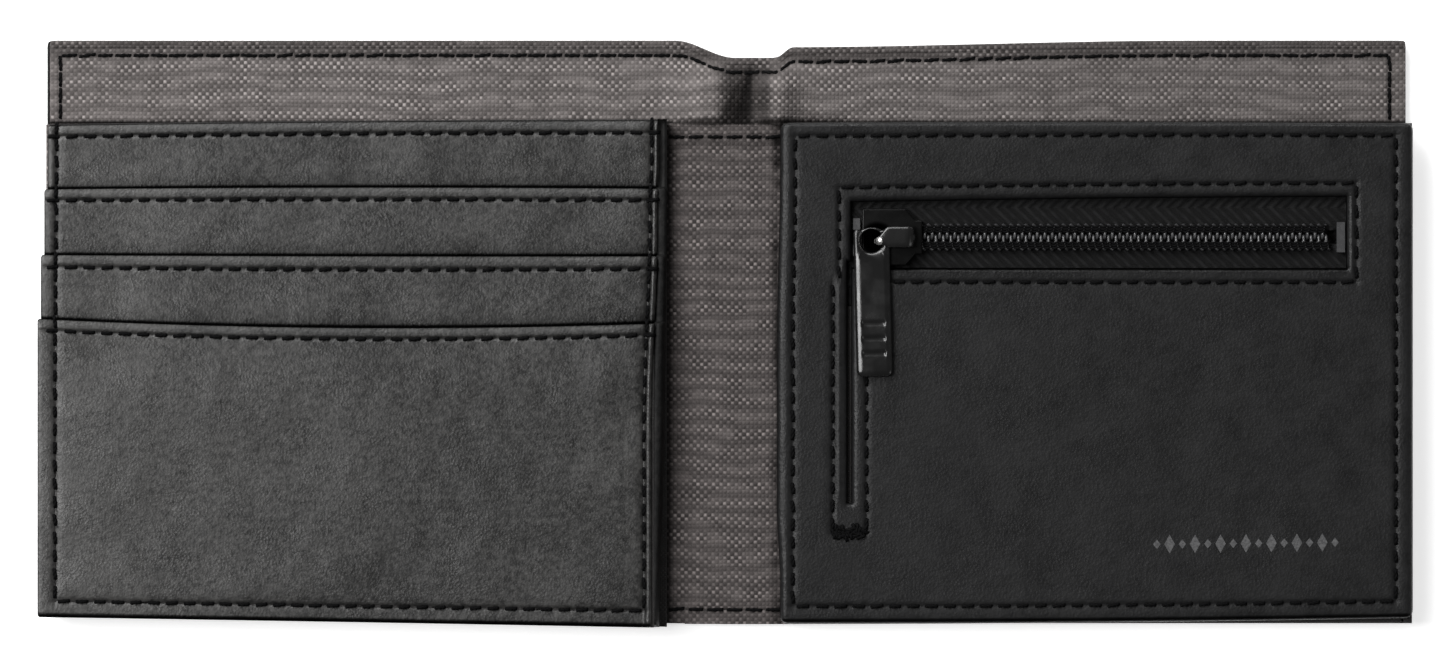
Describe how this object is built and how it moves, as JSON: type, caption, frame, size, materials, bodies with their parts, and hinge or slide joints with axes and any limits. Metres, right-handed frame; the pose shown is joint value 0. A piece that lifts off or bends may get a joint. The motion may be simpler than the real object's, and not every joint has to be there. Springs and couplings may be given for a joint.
{
  "type": "bifold wallet",
  "caption": "Bifold wallet lying open: stepped card slots on the left, a zipped coin pocket on the right, a full-length banknote compartment with a woven lining behind.",
  "frame": {"origin": "on the resting plane under the middle of the spine, at the centre of the open wallet's footprint", "axes": "+X along the open width from the card side to the zip side, +Y towards the mouth of the banknote compartment, +Z out of the inside face"},
  "size_m": [0.22, 0.094, 0.0106],
  "materials": {
    "cover_leather": "smooth black leather with a fine grain, satin",
    "card_leather": "smooth charcoal-black leather with a soft sheen",
    "zip_leather": "smooth black leather, satin",
    "lining_textile": "warm grey woven textile with a coarse checked weave of light and dark yarns, matt",
    "backing_textile": "thin plain black pocket lining",
    "stiffener": "thin pressed fibre stiffener",
    "blocking_foil": "thin metal-coated blocking foil",
    "thread": "black twisted sewing thread, slightly glossy",
    "zip_tape": "black herringbone zip tape",
    "zip_coil": "glossy black nylon coil",
    "zip_metal": "black enamelled metal, semi-gloss"
  },
  "bodies": {
    "left_half": {"cover_left": "cover_leather", "rfid_foil_left": "blocking_foil", "stiffener_left": "stiffener", "lining_left": "lining_textile", "bill_pocket_folds_left": "backing_textile", "divider_left": "lining_textile", "slip_pocket_folds_left": "backing_textile", "card_panel_back": "backing_textile", "card_slot_1": "card_leather", "card_slot_2": "card_leather", "card_slot_3": "card_leather", "front_pocket": "card_leather", "card_slot_1_lining": "backing_textile", "card_slot_2_lining": "backing_textile", "card_slot_3_lining": "backing_textile", "front_pocket_lining": "backing_textile", "card_slot_1_folds": "backing_textile", "card_slot_2_folds": "backing_textile", "card_slot_3_folds": "backing_textile", "front_pocket_folds": "backing_textile", "card_panel_side_edge": "card_leather", "shell_stitching_left": "thread", "card_slot_stitching": "thread", "card_panel_stitching": "thread"},
    "spine": {"cover_spine": "cover_leather", "rfid_foil_spine": "blocking_foil", "spine_interlining": "stiffener", "lining_spine": "lining_textile", "bill_pocket_fold_spine": "backing_textile", "divider_spine": "lining_textile", "spine_stitching": "thread"},
    "right_half": {"cover_right": "cover_leather", "rfid_foil_right": "blocking_foil", "stiffener_right": "stiffener", "lining_right": "lining_textile", "bill_pocket_folds_right": "backing_textile", "divider_right": "lining_textile", "slip_pocket_folds_right": "backing_textile", "zip_pocket_back": "backing_textile", "zip_pocket_folds": "backing_textile", "zip_panel": "zip_leather", "slit_facing": "backing_textile", "zip_tape_upper": "zip_tape", "zip_tape_lower": "zip_tape", "zip_teeth_upper": "zip_coil", "zip_teeth_lower": "zip_coil", "zip_top_stops": "zip_metal", "zip_bottom_stop": "zip_metal", "shell_stitching_right": "thread", "zip_panel_stitching": "thread", "zip_window_stitching": "thread", "slit_stitching": "thread"},
    "zip_slider": {"zip_slider_body": "zip_metal", "zip_slider_crown": "zip_metal"},
    "zip_puller": {"zip_puller": "zip_metal"}
  },
  "joints": [
    {"name": "fold_left", "type": "hinge", "parent": "left_half", "child": "spine", "pos_m": [-0.0078, 0, 0.0018], "axis": [0, -1, 0], "range_deg": [0, 90]},
    {"name": "fold_right", "type": "hinge", "parent": "spine", "child": "right_half", "pos_m": [0.0078, 0, 0.0018], "axis": [0, -1, 0], "range_deg": [0, 90]},
    {"name": "zip_slide", "type": "slide", "parent": "right_half", "child": "zip_slider", "axis": [1, 0, 0], "range_m": [0, 0.066], "deforming": ["zip_teeth_upper", "zip_teeth_lower"]},
    {"name": "puller_swing", "type": "hinge", "parent": "zip_slider", "child": "zip_puller", "pos_m": [0.0243, 0.0151, 0.0089], "axis": [0, 0, 1], "range_deg": [-180, 30]}
  ],
  "couplings": [
    {"joint": "fold_right", "follows": "fold_left", "ratio": 1}
  ]
}
